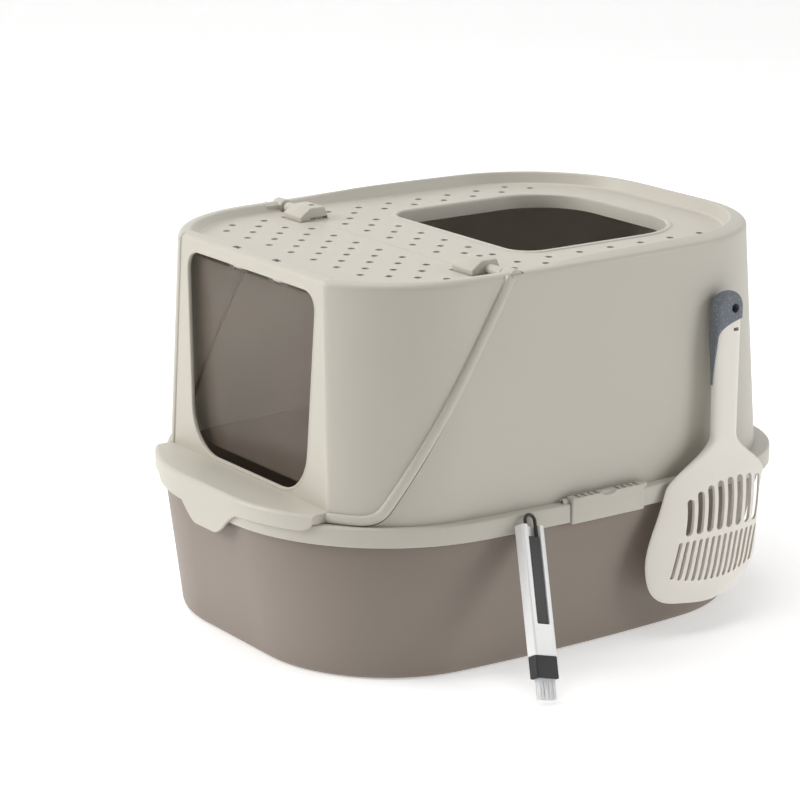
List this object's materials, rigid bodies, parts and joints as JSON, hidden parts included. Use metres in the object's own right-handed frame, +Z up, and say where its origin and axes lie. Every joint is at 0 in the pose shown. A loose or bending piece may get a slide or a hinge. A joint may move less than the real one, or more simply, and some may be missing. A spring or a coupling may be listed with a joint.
{
  "type": "covered litter box",
  "caption": "Covered litter box: open pan, lift-off hood with a perforated deck and top opening, flip-up front cover with a clear swing flap, side latches, scoop and gap brush.",
  "frame": {"origin": "middle of the pan's foot, on the floor", "axes": "+Z up, -Y towards the front with the door, +X towards the side that carries the scoop"},
  "size_m": [0.4948, 0.5434, 0.352],
  "materials": {
    "pan_plastic": "satin",
    "hood_plastic": "satin",
    "clear_plastic": "clear",
    "pin_steel": "plain",
    "pin_plastic": "satin",
    "scoop_plastic": "satin",
    "grip_rubber": "speckled",
    "white_plastic": "gloss",
    "grey_plastic": "satin",
    "bristle_nylon": "fibres",
    "black_plastic": "satin"
  },
  "bodies": {
    "pan": {"pan": "pan_plastic"},
    "hood": {"rear_hood": "hood_plastic", "hinge_block_right": "hood_plastic", "hinge_block_left": "hood_plastic", "hinge_pin_right": "pin_plastic", "hinge_pin_left": "pin_plastic", "latch_pin_right": "pin_steel", "latch_pin_left": "pin_steel", "scoop_peg": "hood_plastic"},
    "cover": {"front_cover": "hood_plastic", "flap_pins": "pin_steel"},
    "flap": {"flap_door": "clear_plastic"},
    "latch_right": {"latch_right": "hood_plastic"},
    "latch_left": {"latch_left": "hood_plastic"},
    "scoop": {"scoop_body": "scoop_plastic", "scoop_grip": "grip_rubber"},
    "brush": {"brush_handle": "white_plastic", "brush_ferrule": "grey_plastic", "brush_bristles": "bristle_nylon"},
    "dustpan": {"mini_dustpan": "black_plastic"}
  },
  "joints": [
    {"name": "hood_lift", "type": "slide", "parent": "pan", "child": "hood", "axis": [0, 0, 1], "range_m": [0, 0.25]},
    {"name": "cover_flip", "type": "hinge", "parent": "hood", "child": "cover", "pos_m": [0, -0.075, 0.3435], "axis": [-1, 0, 0], "range_deg": [0, 105]},
    {"name": "flap_swing", "type": "hinge", "parent": "cover", "child": "flap", "pos_m": [0, -0.214, 0.331], "axis": [1, 0, 0], "range_deg": [0, 85]},
    {"name": "latch_right_open", "type": "hinge", "parent": "hood", "child": "latch_right", "pos_m": [0.201, 0.012, 0.143], "axis": [0, -1, 0], "range_deg": [0, 75]},
    {"name": "latch_left_open", "type": "hinge", "parent": "hood", "child": "latch_left", "pos_m": [-0.201, 0.012, 0.143], "axis": [0, 1, 0], "range_deg": [0, 75]},
    {"name": "scoop_off", "type": "slide", "parent": "hood", "child": "scoop", "axis": [1, 0, 0], "range_m": [0, 0.12]},
    {"name": "brush_away", "type": "slide", "parent": "pan", "child": "brush", "axis": [1, 0, 0], "range_m": [0, 0.15]},
    {"name": "dustpan_out", "type": "slide", "parent": "brush", "child": "dustpan", "axis": [0.8729, 0.1312, 0.4699], "range_m": [0, 0.06]}
  ]
}
